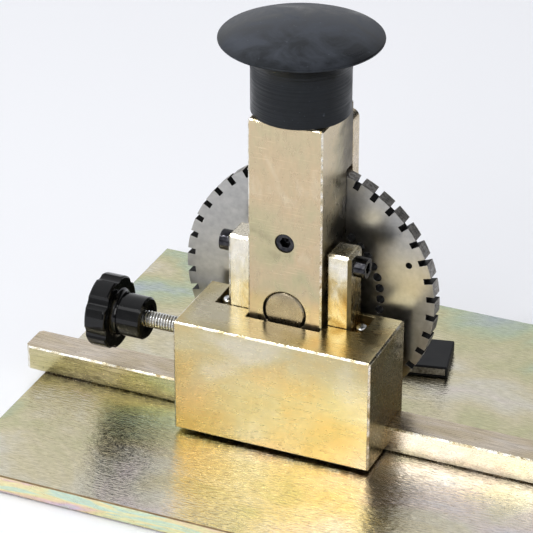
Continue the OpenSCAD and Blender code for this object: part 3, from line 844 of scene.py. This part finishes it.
# Hands leave smears, greyer and duller than the black between them
smear_mm = 15
smear = add_node(
    rubber_tree,
    "TexNoise",
    {"Vector": rubber_place, "Scale": 1000 / smear_mm, "Detail": 7.0, "Roughness": 0.62, "Distortion": 0.8},
).outputs["Fac"]
rubber_colour = add_node(
    rubber_tree, "ValToRGB", {"Fac": smear}, stops=[(0.4, "#07080a"), (0.62, "#181a1e")]
)
rubber_gloss = add_node(
    rubber_tree,
    "MapRange",
    {"Value": smear, "From Min": 0.3, "From Max": 0.7, "To Min": 0.26, "To Max": 0.6},
)
# The dome is painted much greyer than the neck, as painted sheen from the light above, and it is smoother
# than the neck
fade_below = 0.001
fade_above = 0.003
neck_shade, dome_shade = 0.8, 4.8
height = add_node(rubber_tree, "SeparateXYZ", {"Vector": rubber_place}).outputs["Z"]
dome_start = cap_low.z + rim_z
dome_range = {"Value": height, "From Min": dome_start - fade_below, "From Max": dome_start + fade_above}
dome_sheen = add_node(rubber_tree, "MapRange", {**dome_range, "To Min": neck_shade, "To Max": dome_shade})
greyed = add_node(
    rubber_tree,
    "VectorMath",
    {0: rubber_colour.outputs["Color"], "Scale": dome_sheen.outputs["Result"]},
    operation="SCALE",
)
# Dust lies on it in pale specks, a few millimetres apart
dust_mm = 1.6
dust = add_node(rubber_tree, "TexNoise", {"Vector": rubber_place, "Scale": 1000 / dust_mm, "Detail": 2.0})
dust_colour = add_node(
    rubber_tree, "ValToRGB", {"Fac": dust.outputs["Fac"]}, stops=[(0.70, "#000000"), (0.76, "#34383e")]
)
dusty = add_node(
    rubber_tree, "VectorMath", {0: greyed.outputs["Vector"], 1: dust_colour.outputs["Color"]}, operation="ADD"
)
# Turning left fine rings, drawn coarser than they are so that they show, and nearly rubbed off the dome
ring_mm = (250, 250, 0.9)
ring_relief = 0.0003
neck_rings, dome_rings = 1.0, 0.15
ring_at = add_node(
    rubber_tree, "Mapping", {"Vector": rubber_place, "Scale": [1000 / mm for mm in ring_mm]}
)
rings = add_node(rubber_tree, "TexNoise", {"Vector": ring_at.outputs["Vector"], "Scale": 1.0, "Detail": 2.0})
ring_depth = add_node(rubber_tree, "MapRange", {**dome_range, "To Min": neck_rings, "To Max": dome_rings})
rubber_relief = add_node(
    rubber_tree,
    "Bump",
    {"Height": rings.outputs["Fac"], "Distance": ring_relief, "Strength": ring_depth.outputs["Result"]},
)
rubber_tree.links.new(dusty.outputs["Vector"], rubber_skin.inputs["Base Color"])
rubber_tree.links.new(rubber_gloss.outputs["Result"], rubber_skin.inputs["Roughness"])
rubber_tree.links.new(rubber_relief.outputs["Normal"], rubber_skin.inputs["Normal"])
rubber_skin.inputs["Specular IOR Level"].default_value = 0.32
rubber_skin.inputs["Specular Tint"].default_value = (0.86, 0.93, 1.0, 1.0)
dress(cap, rubber)
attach(cap, "plunger")
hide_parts("strike_cap")

cap_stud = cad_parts["cap_stud"]
cap_stud.data.materials.clear()
dress(cap_stud, zinc)

# Lock
# A star knob moulded on a zinc plated stud. The stud is screwed through the block, and its brass pad presses
# on the left lug's foot.
stud_low, stud_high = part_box("lock_stud")
stud_axis = (stud_low + stud_high) / 2
stud_r = (stud_high.z - stud_low.z) / 2
thread_pitch = 0.00125
thread_depth = 0.0006
crest_start, crest_end = 0.35, 0.65
thread_steps = 32
thread_weld = 1e-6
stud_turns = math.floor((stud_high.x - stud_low.x) / thread_pitch)
bpy.ops.object.select_all(action="DESELECT")
bpy.ops.mesh.primitive_plane_add(size=thread_pitch, location=(0, 0, 0))
stud = bpy.context.object
stud.name = "stud_thread"
bpy.ops.object.mode_set(mode="EDIT")
bpy.ops.mesh.select_all(action="SELECT")
bpy.ops.mesh.delete(type="ONLY_FACE")
bpy.ops.object.mode_set(mode="OBJECT")
# The plane's corners, in their order round it, become one pitch: root, crest, crest and the next root
pitch_points = [(0, -thread_depth), (crest_start, 0), (crest_end, 0), (1, -thread_depth)]
chain = [v.index for v in stud.data.vertices]
chain[2], chain[3] = chain[3], chain[2]
for index, (share, drop) in zip(chain, pitch_points):
    stud.data.vertices[index].co = (share * thread_pitch, 0, stud_r + drop)
bpy.ops.object.mode_set(mode="EDIT")
bpy.ops.mesh.select_all(action="DESELECT")
bpy.ops.mesh.select_mode(type="EDGE")
bpy.ops.object.mode_set(mode="OBJECT")
for edge in stud.data.edges:
    edge.select = set(edge.vertices) == {chain[0], chain[3]}
bpy.ops.object.mode_set(mode="EDIT")
bpy.ops.mesh.delete(type="EDGE")
bpy.ops.object.mode_set(mode="OBJECT")
stud.location = (stud_low.x, stud_axis.y, stud_axis.z)
thread = stud.modifiers.new("thread", "SCREW")
thread.axis = "X"
thread.screw_offset = thread_pitch
thread.iterations = stud_turns - 1
thread.steps = thread_steps
thread.render_steps = thread_steps
thread.use_merge_vertices = True
thread.merge_threshold = thread_weld
bpy.ops.object.modifier_apply(modifier="thread")
bpy.ops.object.transform_apply(location=True)
bpy.ops.object.shade_smooth_by_angle(angle=math.radians(30))
dress(stud, zinc, cut_steel_and_flank_shade)
flank = 0.3
# The thread's flanks that face right are painted darker, as shade, so that the ridges show
paint(stud, cut_steel_and_flank_shade, lambda face: face.normal.x > flank)
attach(stud, "lock")
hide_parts("lock_stud")

knob = rounded_copy("lock_knob", "star_knob", radius=0.0003, segments=3)
# Phenolic pressed in a polished mould: black, with small sharp highlights and a faint flow
plastic = mottled(
    "glossy_black_phenolic",
    [(0.3, "#050506"), (0.7, "#0b0b0c")],
    patch_mm=3,
    detail=2.0,
    polish=(0.04, 0.14),
    metallic=0.0,
    specular=0.36,
    relief_mm=0.04,
)
dress(knob, plastic, plastic)
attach(knob, "lock")
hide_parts("lock_knob")

pad = rounded_copy("lock_pad", "brass_pad", radius=0.0002)
# Turned brass: yellow and evenly satin, with small darker spots
brass_spot_mm = 1.5
brass, brass_tree, brass_skin = new_material("turned_brass")
brass_place = add_node(brass_tree, "TexCoord").outputs["Object"]
brass_spot = add_node(
    brass_tree, "TexNoise", {"Vector": brass_place, "Scale": 1000 / brass_spot_mm, "Detail": 3.0}
)
brass_colour = add_node(
    brass_tree, "ValToRGB", {"Fac": brass_spot.outputs["Fac"]}, stops=[(0.3, "#b4914c"), (0.7, "#cfb070")]
)
brass_tree.links.new(brass_colour.outputs["Color"], brass_skin.inputs["Base Color"])
brass_skin.inputs["Metallic"].default_value = 1.0
brass_skin.inputs["Roughness"].default_value = 0.3
dress(pad, brass, brass)
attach(pad, "lock_carrier")
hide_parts("lock_pad")

# Hold-down magnet
# A flat bar magnet of grey metal in a sleeve of black vinyl, which is wrapped round it.
# It lies loose on the plate behind the wheel and holds by its own pull.
sleeve = rounded_copy("magnet_sleeve", "magnet_wrap", radius=0.0006, segments=3)
# Vinyl is matt and even, with scuffs only a little paler
wrap = mottled(
    "matt_black_vinyl",
    [(0.35, "#0b0c0e"), (0.7, "#131417")],
    patch_mm=6,
    detail=4.0,
    polish=(0.4, 0.6),
    metallic=0.0,
    specular=0.3,
)
dress(sleeve, wrap, wrap)
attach(sleeve, "magnet")
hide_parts("magnet_sleeve")

core = rounded_copy("magnet_core", "magnet_bar", radius=0.0002)
dress(core, cut_steel_and_flank_shade, cut_steel_and_flank_shade)
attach(core, "magnet")
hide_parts("magnet_core")
